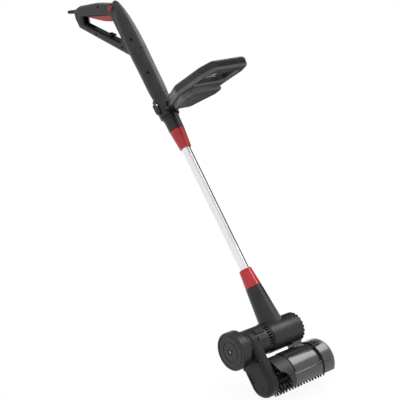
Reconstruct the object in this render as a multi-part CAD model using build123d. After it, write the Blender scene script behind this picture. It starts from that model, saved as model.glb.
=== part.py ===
"""Hand-held electric patio cleaner: a motor head with a bristle roller on a telescopic pole with two handles.

The tool is built upright: the motor axis is X, the pole rises along +Z from the motor axis, the operator
stands at +Y, and the drive arm hangs along -Z down to the roller axis. At the end every piece is leaned back
by the working angle and set on the floor, with the origin on the floor under the middle of the roller.
All sizes are millimetres.
"""
import os
from math import asin, atan2, cos, degrees, radians, sin, sqrt

from build123d import *

# Working pose and main layout
lean = 40.0                 # pole angle from the vertical in use
axle_distance = 91.5        # motor axis to roller axis
wall = 2.5                  # moulded casing wall
rotor_fit = 0.05            # radial clearance of shafts in their bearings
seat_fit = 0.1              # clearance of pieces seated in each other
gap = 0.3                   # clearance between pieces that move past each other

# Bristle roller
roller_radius = 41.5        # to the bristle tips
bristle_width = 165.0       # length of the bristle field along the axis
core_radius = 20.0
core_flange_radius = 23.0
core_flange = 3.5
core_left_flange = 1.0
backing = 1.7               # strip that carries the bristles
tuft_rows = 16
tufts_per_row = 17
tuft_size = 3.0
spindle_radius = 6.0
spindle_collar_radius = 9.0
end_screw_head_radius = 10.0
end_screw_head = 3.5
end_screw_radius = 3.0
end_screw_reach = 20.0

# Drive arm and belt
case_right = -85.0          # face that the motor barrel stands on
case_depth = 25.0           # thickness of the arm
case_wall = 3.0
case_split = 12.0           # share of the depth that belongs to the inner case
arm_foot_radius = 35.5
cover_edge = 11.0           # rounding of the belt cover's rim
cover_groove_y = 21.0       # groove along the rear of the cover's face
cover_groove_width = 2.5
cover_groove_depth = 2.2
cover_slots = 3
cover_slot_pitch = 9.2
cover_slot_length = 13.0
cover_slot_width = 3.6
drive_drum_radius = 8.0
driven_drum_radius = 24.0
flange_rise = 2.5
flange_thick = 1.5
belt_width = 8.0
belt_thick = 1.8
belt_play = 0.3
motor_bearing_radius = 11.0
motor_bearing_width = 7.0
spindle_bearing_radius = 12.0
spindle_bearing_width = 6.0
bearing_rim = 3.0

# Round cover over the drive end
disc_radius = 44.8
disc_depth = 25.0
disc_back_hole = 29.0
disc_edge = 3.0
disc_neck_radius = 34.0
disc_neck = 12.0            # plain neck between the arm and the round cover
disc_ring_radii = (38.5, 24.0)
disc_ring_width = 2.0
disc_ring_depth = 1.0
disc_hub_radius = 8.0
disc_hub_recess = 1.5

# Motor barrel, neck and end cap
barrel_radius = 36.3
barrel_left_radius = 35.0
barrel_step = -40.0         # where the barrel grows to its full radius
barrel_right = 50.0
barrel_ribs = ((30.0, 14.0), (3.0, 9.0), (-20.0, 6.0))   # angle up from the front, and width
barrel_rib_rise = 2.0
barrel_pad_rise = 0.8
barrel_pad_half_angle = 46.0
cap_depth = 10.0
cap_round = 2.0
cap_notches = 22
cap_notch_width = 5.0
cap_notch_depth = 3.6
vent_station = -48.0
vent_length = 11.0
vent_width = 4.2
vent_pitch = 11.0           # degrees
vents_per_side = 7
neck_foot_radius = 31.0
neck_top_radius = 20.0
neck_top = 122.0
neck_lid = 4.0

# Motor inside
shaft_radius = 4.0
field_half_length = 22.0
field_bore_radius = 22.0
armature_gap = 0.7
armature_slots = 12
coil_inner_radius = 24.0
coil_outer_radius = 30.0
coil_half_angle = 55.0
coil_bar_angle = 13.0
coil_overhang = 9.0
winding_radius = 17.0
winding_length = 7.0
commutator_radius = 11.0
commutator_station = 33.0
commutator_length = 12.0
carbon_width = 7.0
fan_radius = 29.0
fan_station = -60.0
fan_depth = 10.0
fan_blades = 9
fan_plate = 2.0
fan_hub_radius = 9.0

# Hood over the roller
hood_clearance = 3.0        # bristle tips to the hood
hood_wall = 3.0
hood_left = -81.0
hood_right = 95.0
hood_lip_left = -48.0
hood_dome_left = 52.0
hood_panel_left = -38.0
hood_panel_right = 24.0
hood_panel_z = 24.0         # lower edge of the raised panel above the axle
hood_panel_rise = 1.8
hood_dome_rise = 3.0
hood_dome_round = 13.0
hood_lip_drop = 8.0         # lip ends this far below the axle
hood_crease_z = 19.0        # crease above the front lip
hood_crease = 1.0
hood_groove_width = 12.0
hood_groove_floor = 1.6
hood_groove_depth = 3.2
hood_slot_length = 15.0
hood_slot_width = 3.0
hood_slots = 3
hanger_left = 24.0
hanger_right = 50.0
hanger_half_width = 12.0
hanger_screw_x = 40.0
hanger_screw_y = 7.0

# Tube and clamping sleeves
tube_radius = 11.0
tube_wall = 1.4
tube_foot = 60.0
tube_top = 640.0
socket_wall = 3.0
lead_radius = 3.2
plug_length = 18.0
lower_sleeve_length = 47.0
lower_sleeve_top_radius = 15.5
upper_sleeve_length = 52.0
upper_sleeve_foot_radius = 14.7
sleeve_edge = 1.2
handle_foot = 554.5
handle_foot_radius = 19.5

# Handle body
bush_length = 50.0
bush_radius = 15.5
clamp_seat_foot = 586.0
clamp_seat_top = 650.0
clamp_seat_radius = 21.0
body_bulge_radius = 24.0
bulge_drop = 131.0          # widest place of the body below the grip's root
body_crown = 24.0           # top of the body above the grip's root
seam_groove = 0.8
seam_groove_width = 1.6
seam_half_width = 13.0
coil_radius = 8.0
rib_thick = 2.5
rib_drop = 112.0            # cross rib below the grip's root
capacitor_radius = 8.5
capacitor_length = 30.0

# Rear D-handle, in the grip's own direction
grip_root_z = 912.0
grip_angle = 32.0
grip_thick = 30.0
grip_half_width = 15.5
grip_bow = 4.0              # rise of the grip's back between its ends
handle_round = 8.0
hole_front = 25.0
hole_rear = 146.0
hole_rear_height = 16.5
post_thick = 27.0
brace_drop = 89.0           # foot of the brace below the grip's root
brace_thick_rear = 17.0
brace_thick_front = 23.0
trigger_width = 13.0
trigger_play = 0.8
trigger_pivot_t = 148.0
trigger_pivot_n = -8.0
trigger_front_t = 20.0
trigger_nose = 16.0         # drop of the trigger's front below the grip
trigger_pin_radius = 2.0
switch_front_t = 92.0
switch_length = 28.0
switch_width = 15.0
switch_height = 12.0
switch_floor_n = -1.5
spring_t = 134.0
spring_radius = 3.0
button_t = 12.0
button_n = 2.0
button_length = 15.0
button_height = 13.0
button_depth = 8.0
button_proud = 3.0
button_travel = 3.0
button_spring_radius = 3.0
gland_length = 48.0
gland_radius = 5.6
gland_tip_radius = 4.6
gland_bore = 3.6
gland_flange_radius = 8.0
gland_flange = 3.0
gland_rings = 5
hook_along = 0.35           # place along the brace, from its foot
hook_stem = 8.0
hook_bar = 20.0
hook_thick = 4.0

# Clamp and loop handle
clamp_wall = 4.5
clamp_foot = 594.0
clamp_top = 644.0
clamp_flange_reach = 8.5
clamp_flange_half = 5.0
clamp_flange_height = 28.0
pivot_reach = 33.0          # hinge in front of the pole axis
pivot_z = 614.0
hub_radius = 12.0
hub_half_width = 14.0
tooth_ring = 4.0
hinge_teeth = 20
tooth_depth = 1.2
cheek_thick = 5.7
cheek_radius = 13.0
loop_pin_radius = 4.0
loop_pin_head_radius = 6.5
loop_pin_head = 2.5
loop_droop = 8.0
loop_low = -13.0
loop_high = 12.5
loop_half_width = 66.0
loop_flare_end = 99.0
loop_end = 240.0
loop_round = 8.0
loop_hole_start = 138.0
loop_hole_half_width = 48.0
loop_grip_thick = 30.0
loop_split = -6.0
belly_depth = 14.0
belly_inset = 12.0
belly_start = 26.0
loop_screw_places = ((15.0, 44.0), (30.0, 96.0))

# Screws
screw_radius = 1.5
screw_hole = 1.6
screw_head_radius = 3.0
screw_head = 2.4
screw_recess_radius = 3.4
screw_recess = 4.5
boss_radius = 4.5
screw_reach = 10.0


# Places worked out from the sizes above
case_left = case_right - case_depth
case_parting = case_right - case_split
case_inner_left = case_left + case_wall
case_inner_right = case_right - case_wall
spindle_bearing_left = (case_inner_left, case_inner_left + spindle_bearing_width)
spindle_bearing_right = (case_right, case_right + spindle_bearing_width)
pulley_centre = (spindle_bearing_left[1] + case_inner_right) / 2
pulley_half = belt_width / 2 + belt_play + flange_thick
disc_right = case_left - disc_neck
disc_left = disc_right - disc_depth
cap_right = barrel_right + cap_depth
motor_bearing_left = (case_right, case_right + motor_bearing_width)
motor_bearing_right = (cap_right - wall - motor_bearing_width, cap_right - wall)
body_top = grip_root_z + body_crown
body_bulge_z = grip_root_z - bulge_drop
rib_z = grip_root_z - rib_drop
brace_foot_z = grip_root_z - brace_drop
bristle_half = bristle_width / 2
core_right = bristle_half + core_flange
core_left = -bristle_half - core_left_flange
core_recess_end = spindle_bearing_right[1] + core_flange
hood_inner_radius = roller_radius + hood_clearance
hood_radius = hood_inner_radius + hood_wall
neck_inner_top = neck_top - neck_lid
lower_sleeve_foot = neck_top + gap
lower_sleeve_top = neck_top + lower_sleeve_length
upper_sleeve_top = handle_foot - gap
upper_sleeve_foot = handle_foot - upper_sleeve_length
bush_foot = handle_foot + 1.5
bush_top = bush_foot + bush_length
clamp_radius = clamp_seat_radius + clamp_wall
grip_half = grip_thick / 2
pivot_y = -pivot_reach


# Simple solids by their stations along one axis
def bar_x(radius, low, high, y=0.0, z=0.0):
    return Pos((low + high) / 2, y, z) * Rot(0, 90, 0) * Cylinder(radius, high - low)


def bar_y(radius, low, high, x=0.0, z=0.0):
    return Pos(x, (low + high) / 2, z) * Rot(90, 0, 0) * Cylinder(radius, high - low)


def bar_z(radius, low, high, x=0.0, y=0.0):
    return Pos(x, y, (low + high) / 2) * Cylinder(radius, high - low)


def cone_z(foot_radius, top_radius, low, high):
    return Pos(0, 0, (low + high) / 2) * Cone(foot_radius, top_radius, high - low)


def block(x, y, z):
    """Box between the low and high stations given for each axis."""
    centre = [(pair[0] + pair[1]) / 2 for pair in (x, y, z)]
    return Pos(*centre) * Box(x[1] - x[0], y[1] - y[0], z[1] - z[0])


def ring_x(outer, inner, low, high, z=0.0):
    return bar_x(outer, low, high, 0, z) - bar_x(inner, low - 1, high + 1, 0, z)


def slab_x(outline, low, high):
    """Side outline, drawn in Y and Z, given thickness between two stations along X."""
    return extrude(Plane.YZ.offset(low) * outline, amount=high - low)


def rounded_outline(points, radii):
    return make_face(FilletPolyline(*points, radius=radii, close=True))


def end_edges(solid, axis):
    """Edges of the first and the last face of a slab along one axis."""
    groups = solid.edges().group_by(axis)
    return groups[0] + groups[-1]


def side_screw(axis_bar, seat, tip, x_or_y, z):
    """Pan head screw whose head stands on the seat and whose shank ends at the tip."""
    outward = 1 if seat > tip else -1
    shank = axis_bar(screw_radius, min(seat, tip), max(seat, tip), x_or_y, z)
    head_ends = sorted((seat, seat + outward * screw_head))
    return shank + axis_bar(screw_head_radius, head_ends[0], head_ends[1], x_or_y, z)


# Bristle roller
def roller_core():
    core = bar_x(core_radius, core_left, core_right)
    core += bar_x(core_flange_radius, core_left, -bristle_half)
    core += bar_x(core_flange_radius, bristle_half, core_right)
    core -= bar_x(spindle_bearing_radius + bearing_rim + 1, case_right, core_recess_end)
    return core - bar_x(spindle_radius + rotor_fit, case_right, core_right + 1)


def roller_bristles():
    """Rows of stiff tufts, every second row set half a pitch along, on the strip that carries them."""
    foot = core_radius + seat_fit
    strip = ring_x(foot + backing, foot, -bristle_half + seat_fit, bristle_half - seat_fit)
    pitch = (bristle_width - 2 * tuft_size) / (tufts_per_row - 0.5)
    length = roller_radius - foot - backing / 2
    tufts = []
    for row in range(tuft_rows):
        shift = pitch / 2 if row % 2 else 0.0
        for number in range(tufts_per_row):
            x = -bristle_half + tuft_size + number * pitch + shift
            stand = Rot(row * 360 / tuft_rows, 0, 0) * Pos(x, 0, roller_radius - length / 2)
            tufts.append(stand * Box(tuft_size, tuft_size, length))
    return strip.fuse(*tufts)


def brush_spindle():
    left = case_inner_left + 1
    right = core_right - 2
    spindle = bar_x(spindle_radius, left, right)
    spindle += bar_x(spindle_collar_radius, spindle_bearing_right[1] + gap, core_recess_end - gap)
    return spindle - bar_x(end_screw_radius + seat_fit, right - end_screw_reach - 1, right + 1)


def roller_end_screw():
    head = bar_x(end_screw_head_radius, core_right, core_right + end_screw_head)
    slot = block((core_right + end_screw_head / 2, core_right + 2 * end_screw_head), (-9, 9), (-1, 1))
    return head - slot + bar_x(end_screw_radius, core_right - 2 - end_screw_reach, core_right)


# Drive arm, belt and pulleys
def arm_outline(inset=0.0):
    """Barrel end above and round foot below, joined by straight flanks."""
    top = Circle(barrel_left_radius - inset)
    foot = Pos(0, -axle_distance) * Circle(arm_foot_radius - inset)
    return make_hull(top.edges() + foot.edges())


arm_screw_z = -axle_distance / 2
arm_screw_y = (barrel_left_radius + arm_foot_radius) / 2 - wall - boss_radius + 1
arm_screw_places = [
    (-arm_screw_y, arm_screw_z),
    (arm_screw_y, arm_screw_z),
    (0, disc_back_hole - screw_recess_radius),
]


def arm_bosses(low, high):
    return [bar_x(boss_radius, low, high, y, z) for y, z in arm_screw_places]


def belt_case():
    case = slab_x(arm_outline(), case_parting, case_right)
    case -= slab_x(arm_outline(wall), case_parting - 1, case_inner_right)
    case += bar_x(spindle_bearing_radius + bearing_rim, case_right, spindle_bearing_right[1], 0, -axle_distance)
    case += bar_x(motor_bearing_radius + bearing_rim, case_right, motor_bearing_left[1])
    for boss in arm_bosses(case_parting, case_inner_right):
        case += boss & slab_x(arm_outline(wall / 2), case_parting, case_right)
    case -= bar_x(spindle_bearing_radius + rotor_fit, case_right, spindle_bearing_right[1] + 1, 0, -axle_distance)
    case -= bar_x(spindle_radius + 1, case_inner_right - 1, case_right + 1, 0, -axle_distance)
    case -= bar_x(motor_bearing_radius + rotor_fit, case_right, motor_bearing_left[1] + 1)
    case -= bar_x(shaft_radius + 1, case_inner_right - 1, case_right + 1)
    for y, z in arm_screw_places:
        case -= bar_x(screw_hole, case_parting - 1, case_parting + screw_reach, y, z)
    return case


def belt_cover():
    cover = slab_x(arm_outline(), case_left, case_parting)
    cover = fillet(cover.edges().group_by(Axis.X)[0], cover_edge)
    hollow = slab_x(arm_outline(wall), case_inner_left, case_parting + 1)
    cover -= fillet(hollow.edges().group_by(Axis.X)[0], cover_edge - wall)
    rim_right = case_inner_left + spindle_bearing_width
    cover += bar_x(spindle_bearing_radius + bearing_rim, case_inner_left, rim_right, 0, -axle_distance)
    cover += ring_x(disc_neck_radius, disc_neck_radius - wall, disc_right, case_left + case_wall)
    cover += bar_x(disc_hub_radius - 2, disc_left + wall + disc_hub_recess, case_inner_left)
    for boss in arm_bosses(case_inner_left - case_wall / 2, case_parting):
        cover += boss & slab_x(arm_outline(wall / 2), case_left, case_parting)
    foot = -axle_distance
    recess = (case_left - 1, case_left + cover_groove_depth)
    groove = (cover_groove_y, cover_groove_y + cover_groove_width)
    cover -= block(recess, groove, (foot - arm_foot_radius, foot + (cover_slots + 0.5) * cover_slot_pitch))
    for number in range(cover_slots):
        z = foot + (number + 1) * cover_slot_pitch
        cover -= block(recess, (cover_groove_y - cover_slot_length, groove[1]),
                       (z - cover_slot_width / 2, z + cover_slot_width / 2))
    cover -= bar_x(spindle_bearing_radius + rotor_fit, case_inner_left, rim_right + 1, 0, foot)
    cover -= bar_x(screw_hole, disc_left, case_left - 1)
    for y, z in arm_screw_places:
        cover -= bar_x(screw_hole, case_left - 1, case_parting + 1, y, z)
        cover -= bar_x(screw_recess_radius, case_left - 1, case_left + screw_recess, y, z)
    return cover


def arm_screws():
    seat = case_left + screw_recess
    tip = case_parting + screw_reach - 2
    return [side_screw(bar_x, seat, tip, y, z) for y, z in arm_screw_places]


def bearing(width_stations, outer, bore, z):
    low, high = width_stations
    ring = ring_x(outer, bore + rotor_fit, low, high, z)
    groove = (outer + bore) / 2
    face_groove = ring_x(groove + 1.5, groove - 1.5, high - 0.6, high + 0.6, z)
    return ring - face_groove


def motor_bearings():
    return [bearing(stations, motor_bearing_radius, shaft_radius, 0)
            for stations in (motor_bearing_left, motor_bearing_right)]


def spindle_bearings():
    return [bearing(stations, spindle_bearing_radius, spindle_radius, -axle_distance)
            for stations in (spindle_bearing_left, spindle_bearing_right)]


def pulley(drum_radius, bore, z):
    low = pulley_centre - pulley_half
    high = pulley_centre + pulley_half
    body = bar_x(drum_radius, low, high, 0, z)
    for start in (low, high - flange_thick):
        body += bar_x(drum_radius + flange_rise, start, start + flange_thick, 0, z)
    return body - bar_x(bore + seat_fit / 2, low - 1, high + 1, 0, z)


def belt_loop(offset):
    """Outline of the belt at a distance from the two drums: two arcs and their common tangents."""
    top = drive_drum_radius + offset
    foot = driven_drum_radius + offset
    tilt = asin((foot - top) / axle_distance)
    corners = [(top * cos(tilt), top * sin(tilt)), (foot * cos(tilt), foot * sin(tilt) - axle_distance)]
    right = Line(corners[0], corners[1])
    left = Line((-corners[1][0], corners[1][1]), (-corners[0][0], corners[0][1]))
    round_foot = ThreePointArc(corners[1], (0, -axle_distance - foot), (-corners[1][0], corners[1][1]))
    round_top = ThreePointArc((-corners[0][0], corners[0][1]), (0, top), corners[0])
    return make_face(Curve() + [right, round_foot, left, round_top])


def drive_belt():
    low = pulley_centre - belt_width / 2
    high = pulley_centre + belt_width / 2
    return slab_x(belt_loop(belt_play + belt_thick), low, high) - slab_x(belt_loop(belt_play), low - 1, high + 1)


def round_cover():
    """Hollow drum standing on the neck of the belt cover, with rings on its face."""
    cover = bar_x(disc_radius, disc_left, disc_right)
    cover = fillet(end_edges(cover, Axis.X), disc_edge)
    face = disc_left + disc_hub_recess + wall
    cover -= bar_x(disc_radius - wall, face, disc_right - wall)
    cover -= bar_x(disc_back_hole, face, disc_right + 1)
    for radius in disc_ring_radii:
        cover -= ring_x(radius, radius - disc_ring_width, disc_left - 1, disc_left + disc_ring_depth)
    cover -= bar_x(disc_hub_radius, disc_left - 1, disc_left + disc_hub_recess)
    return cover - bar_x(screw_hole, disc_left - 1, disc_right)


def cover_screw():
    seat = disc_left + disc_hub_recess
    return side_screw(bar_x, seat, case_left - 3, 0, 0)


# Motor head
def neck_radius(z):
    return neck_foot_radius + (neck_top_radius - neck_foot_radius) * z / neck_top


def head_outer():
    barrel = bar_x(barrel_left_radius, case_right, barrel_step)
    barrel += bar_x(barrel_radius, barrel_step, barrel_right)
    for angle, width in barrel_ribs:
        rise = (barrel_left_radius - wall / 2, barrel_left_radius + barrel_rib_rise)
        rib = block((case_right + 1, vent_station - vent_length), (-rise[1], -rise[0]), (-width / 2, width / 2))
        barrel += Rot(-angle, 0, 0) * rib
    pad = sector_x(barrel_radius + barrel_pad_rise, barrel_radius - wall / 2, barrel_step + wall,
                   barrel_right - wall, barrel_pad_half_angle)
    barrel += Rot(90, 0, 0) * pad
    return barrel + cone_z(neck_foot_radius, neck_top_radius, 0, neck_top)


def head_inner():
    space = bar_x(barrel_left_radius - wall, case_right - 1, barrel_step + wall)
    space += bar_x(barrel_radius - wall, barrel_step + wall, barrel_right + 1)
    return space + cone_z(neck_foot_radius - wall, neck_radius(neck_inner_top) - wall, 0, neck_inner_top)


barrel_boss_places = [(x, z) for x in (case_right + 16, barrel_right - 12) for z in (-25.0, 25.0)]
neck_boss_places = [(-13.8, 47.0), (13.8, 47.0)]


def head_surface_y(x, z):
    """How far the housing reaches towards the rear at a screw."""
    if (x, z) in neck_boss_places:
        return sqrt(neck_radius(z) ** 2 - x ** 2)
    radius = barrel_left_radius if x < barrel_step else barrel_radius
    return sqrt(radius ** 2 - z ** 2)


def head_screw_seat(x, z):
    return head_surface_y(x, z) - screw_recess


def head_housing():
    outer = head_outer()
    housing = outer - head_inner()
    housing += bar_z(tube_radius + socket_wall, tube_foot - socket_wall, neck_top)
    for x, z in barrel_boss_places + neck_boss_places:
        housing += bar_y(boss_radius, -barrel_radius, barrel_radius, x, z) & outer
    pad_x = (hanger_screw_x - 2 * boss_radius, hanger_screw_x + 2 * boss_radius)
    pad_low = barrel_radius - wall - 6
    pad = block(pad_x, (-hanger_screw_y - boss_radius, hanger_screw_y + boss_radius), (-barrel_radius, -pad_low))
    housing += pad & outer
    housing -= bar_z(tube_radius + seat_fit, tube_foot, neck_top + 1)
    housing -= bar_z(lead_radius + gap, tube_foot - socket_wall - 1, tube_foot + 1)
    for x, z in barrel_boss_places + neck_boss_places:
        seat = head_screw_seat(x, z)
        housing -= bar_y(screw_hole, -screw_reach, seat + 1, x, z)
        housing -= bar_y(screw_recess_radius, seat, barrel_radius + 1, x, z)
    for side in (-1, 1):
        housing -= bar_z(screw_hole, -barrel_radius - 1, -pad_low + 1, hanger_screw_x, side * hanger_screw_y)
    for side in (0, 180):
        for number in range(vents_per_side):
            angle = (number - (vents_per_side - 1) / 2) * vent_pitch
            cutter = Box(vent_length, 4 * wall, vent_width)
            housing -= Rot(side + angle, 0, 0) * Pos(vent_station, -barrel_radius + wall / 2, 0) * cutter
    return housing


def housing_screws():
    return [side_screw(bar_y, head_screw_seat(x, z), -screw_reach + 1, x, z)
            for x, z in barrel_boss_places + neck_boss_places]


def motor_end_cap():
    cap = bar_x(barrel_radius, barrel_right, cap_right)
    cap = fillet(cap.edges().group_by(Axis.X)[-1], cap_round)
    for number in range(cap_notches):
        notch = Box(cap_depth, cap_notch_width, 2 * cap_notch_depth)
        at_rim = Pos(barrel_right + wall + cap_depth / 2, 0, barrel_radius)
        cap -= Rot(number * 360 / cap_notches, 0, 0) * at_rim * notch
    cap -= bar_x(barrel_radius - 2 * wall, barrel_right - 1, cap_right - wall)
    cap += bar_x(motor_bearing_radius + bearing_rim, motor_bearing_right[0], cap_right - wall)
    return cap - bar_x(motor_bearing_radius + rotor_fit, motor_bearing_right[0] - 1, cap_right - wall)


def sector_x(outer, inner, low, high, half_angle):
    """Ring about X limited to an angle each side of +Z."""
    reach = 3 * outer
    half_width = reach * sin(radians(half_angle))
    height = reach * cos(radians(half_angle))
    wedge = slab_x(Polygon((0, 0), (half_width, height), (-half_width, height), align=None), low, high)
    return ring_x(outer, inner, low, high) & wedge


def coil_spaces(clearance):
    """The four slots of the field core that the coils' sides lie in."""
    outer = coil_outer_radius + clearance
    inner = coil_inner_radius - clearance
    angle = degrees(clearance / coil_inner_radius)
    low = -field_half_length - 1
    high = field_half_length + 1
    side = sector_x(outer, inner, low, high, coil_half_angle + angle)
    side -= sector_x(outer + 1, inner - 1, low - 1, high + 1, coil_half_angle - coil_bar_angle - angle)
    return side + Rot(180, 0, 0) * side


def field_core():
    core = ring_x(barrel_radius - wall - seat_fit, field_bore_radius, -field_half_length, field_half_length)
    return core - coil_spaces(gap)


def field_coils():
    end = field_half_length + coil_overhang
    coil = sector_x(coil_outer_radius, coil_inner_radius, -end, end, coil_half_angle)
    middle = sector_x(coil_outer_radius + 1, coil_inner_radius - 1, -field_half_length, field_half_length,
                      coil_half_angle - coil_bar_angle)
    coil -= middle
    return [coil, Rot(180, 0, 0) * coil]


def armature_shaft():
    return bar_x(shaft_radius, pulley_centre - pulley_half - 1, motor_bearing_right[1] - 0.5)


def armature_core():
    radius = field_bore_radius - armature_gap
    core = ring_x(radius, shaft_radius + seat_fit / 2, -field_half_length, field_half_length)
    for number in range(armature_slots):
        slot = Pos(0, 0, radius) * Box(3 * field_half_length, 2.2, 6)
        core -= Rot(number * 360 / armature_slots, 0, 0) * slot
    return core


def armature_windings():
    inner = shaft_radius + 1
    start = field_half_length
    return [ring_x(winding_radius, inner, start, start + winding_length),
            ring_x(winding_radius, inner, -start - winding_length, -start)]


def commutator():
    end = commutator_station + commutator_length
    drum = ring_x(commutator_radius, shaft_radius + seat_fit / 2, commutator_station, end)
    for number in range(armature_slots):
        cut = Pos(commutator_station + commutator_length / 2, 0, commutator_radius)
        drum -= Rot(number * 360 / armature_slots, 0, 0) * cut * Box(2 * commutator_length, 0.8, 1.6)
    return drum


def carbon_brushes():
    """Carbon block in its guide, one each side, from the barrel wall to the commutator."""
    station = commutator_station + commutator_length / 2
    outer = sqrt((barrel_radius - wall) ** 2 - (carbon_width / 2 + 1) ** 2) - seat_fit
    half = carbon_width / 2
    block_y = (commutator_radius + gap, outer)
    brush = block((station - half, station + half), block_y, (-half, half))
    guide_y = (commutator_radius + 4, outer)
    guide = block((station - half - 1, station + half + 1), guide_y, (-half - 1, half + 1))
    one = brush + guide
    return [one, Rot(180, 0, 0) * one]


def cooling_fan():
    fan = bar_x(fan_hub_radius, fan_station, fan_station + fan_depth)
    fan += bar_x(fan_radius, fan_station + fan_depth - fan_plate, fan_station + fan_depth)
    for number in range(fan_blades):
        reach = fan_radius - fan_hub_radius + 1
        blade = Pos(fan_station + fan_depth / 2, 0, fan_radius - reach / 2 - 0.5) * Box(fan_depth, 1.6, reach)
        fan += Rot(number * 360 / fan_blades, 0, 0) * blade
    return fan - bar_x(shaft_radius + seat_fit / 2, fan_station - 1, fan_station + fan_depth + 1)


# Hood, drawn level about the roller axis and then turned into the upright tool
def hood_form(radius, left, right, rounding):
    """Round form about the roller axis with its right-hand end rounded, cut level under the axle."""
    corners = [(left, 0), (right, 0), (right, radius), (left, radius)]
    form = revolve(rounded_outline(corners, [0, 0, rounding, 0]), Axis.X)
    return form - block((left - 1, right + 1), (-2 * radius, 2 * radius), (-2 * radius, -hood_lip_drop))


def hood_corner():
    """Cut that leaves the bristles free beside the arm, in front, drawn as seen from the front."""
    crown = hood_radius
    points = [
        (hood_left - 5, 0.86 * crown),
        (hood_left, 0.86 * crown),
        (hood_left + 4, 0.72 * crown),
        (0.5 * (hood_left + hood_lip_left), 0.59 * crown),
        (hood_lip_left - 9, 0.4 * crown),
        (hood_lip_left, -2 * hood_lip_drop),
        (hood_left - 5, -2 * hood_lip_drop),
    ]
    cut = extrude(Plane.XZ * Polygon(*points, align=None), amount=2 * hood_radius, both=True)
    return cut & block((hood_left - 5, 0), (-2 * hood_radius, 0), (-2 * hood_radius, 2 * hood_radius))


def hood():
    sheet = hood_form(hood_radius, hood_left, hood_dome_left + hood_dome_round, 0)
    panel = ring_x(hood_radius + hood_panel_rise, hood_radius - hood_wall / 2, hood_panel_left, hood_panel_right)
    sheet += panel & block((hood_panel_left, hood_panel_right), (-2 * hood_radius, 0.5 * hood_radius),
                           (hood_panel_z, 2 * hood_radius))
    groove_low = hood_dome_left - hood_groove_width
    groove = ring_x(2 * hood_radius, hood_radius - hood_groove_depth, groove_low, hood_dome_left)
    front_only = block((groove_low, hood_dome_left), (-2 * hood_radius, -0.3 * hood_radius),
                       (hood_panel_z, 2 * hood_radius))
    front_only_wide = block((groove_low - hood_wall, hood_dome_left + hood_wall),
                            (-2 * hood_radius, -0.3 * hood_radius + hood_wall),
                            (hood_panel_z - hood_wall, 2 * hood_radius))
    sheet -= groove & front_only
    dome_radius = hood_radius + hood_dome_rise
    sheet += hood_form(dome_radius, hood_dome_left, hood_right, hood_dome_round)
    sheet -= block((hood_left - 1, hood_right + 1), (-2 * hood_radius, 0), (hood_crease_z, hood_crease_z + 1.2)) - (
        bar_x(hood_radius - hood_crease, hood_left - 2, hood_right + 2))
    sheet -= hood_corner()
    inside_right = hood_right - hood_wall
    inside = revolve(rounded_outline(
        [(hood_left - 1, 0), (inside_right, 0), (inside_right, hood_inner_radius), (hood_left - 1, hood_inner_radius)],
        [0, 0, hood_dome_round - hood_wall, 0]), Axis.X)
    recess_floor = ring_x(hood_inner_radius + hood_wall / 2, hood_inner_radius - hood_groove_floor,
                          groove_low - hood_wall, hood_dome_left + hood_wall)
    sheet -= inside - (recess_floor & front_only_wide)
    for number in range(hood_slots):
        angle = (number - 0.5) * 3 * hood_slot_width / hood_radius
        slot = Box(hood_slot_length, hood_slot_width, 4 * (hood_wall + hood_dome_rise))
        at_crown = Pos(hood_dome_left + hood_slot_length / 2 + 5, 0, dome_radius)
        sheet -= Rot(degrees(angle), 0, 0) * at_crown * slot
    upright = Pos(0, 0, -axle_distance) * Rot(lean, 0, 0) * sheet
    crown = -axle_distance + hood_radius
    hanger = block((hanger_left, hanger_right), (-hanger_half_width, hanger_half_width),
                   (crown - hood_wall / 2, -barrel_radius + 6))
    hanger -= bar_x(hood_inner_radius + hood_wall / 2, hanger_left - 1, hanger_right + 1, 0, -axle_distance)
    upright += hanger
    upright -= bar_x(barrel_radius + seat_fit, case_right, cap_right + 1)
    for side in (-1, 1):
        y = side * hanger_screw_y
        upright -= bar_z(screw_hole, crown - 2 * hood_wall, 0, hanger_screw_x, y)
        upright -= bar_z(screw_recess_radius, crown - 3 * hood_wall, hood_screw_seat(), hanger_screw_x, y)
    return upright


def hood_screw_seat():
    return -axle_distance + hood_inner_radius + screw_head


def hood_screws():
    seat = hood_screw_seat()
    screws = []
    for side in (-1, 1):
        y = side * hanger_screw_y
        shank = bar_z(screw_radius, seat, -barrel_radius + wall + 5, hanger_screw_x, y)
        screws.append(shank + bar_z(screw_head_radius, seat - screw_head, seat, hanger_screw_x, y))
    return screws


# Tube, lead and clamping sleeves
def aluminium_tube():
    return bar_z(tube_radius, tube_foot, tube_top) - bar_z(tube_radius - tube_wall, tube_foot - 1, tube_top + 1)


def tube_end_plug():
    plug = bar_z(tube_radius - tube_wall - seat_fit, tube_foot, tube_foot + plug_length)
    return plug - bar_z(lead_radius + seat_fit, tube_foot - 1, tube_foot + plug_length + 1)


terminal_top = tube_foot - 2 * socket_wall
terminal_half_width = neck_boss_places[1][0] - boss_radius - gap


def inner_lead():
    return bar_z(lead_radius, terminal_top, tube_top)


def terminal_block():
    body = block((-terminal_half_width, terminal_half_width), (-6, 6), (terminal_top - 12, terminal_top))
    for side in (-1, 1):
        body -= bar_y(1.5, -7, 7, side * terminal_half_width / 2, terminal_top - 6)
    return body


def lead_coil():
    """Slack of the lead between the tube and the switch, as its outer shape."""
    return bar_z(coil_radius, tube_top, rib_z)


def clamping_sleeve(foot_radius, top_radius, low, high):
    sleeve = cone_z(foot_radius, top_radius, low, high)
    sleeve = fillet(end_edges(sleeve, Axis.Z), sleeve_edge)
    return sleeve - bar_z(tube_radius + gap, low - 1, high + 1)


# Handle
grip_frame = Pos(0, 0, grip_root_z) * Rot(grip_angle, 0, 0)


def grip_point(t, n):
    """Y and Z of a point given along the grip, from the pole axis, and square to it."""
    angle = radians(grip_angle)
    return (t * cos(angle) - n * sin(angle), grip_root_z + t * sin(angle) + n * cos(angle))


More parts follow.
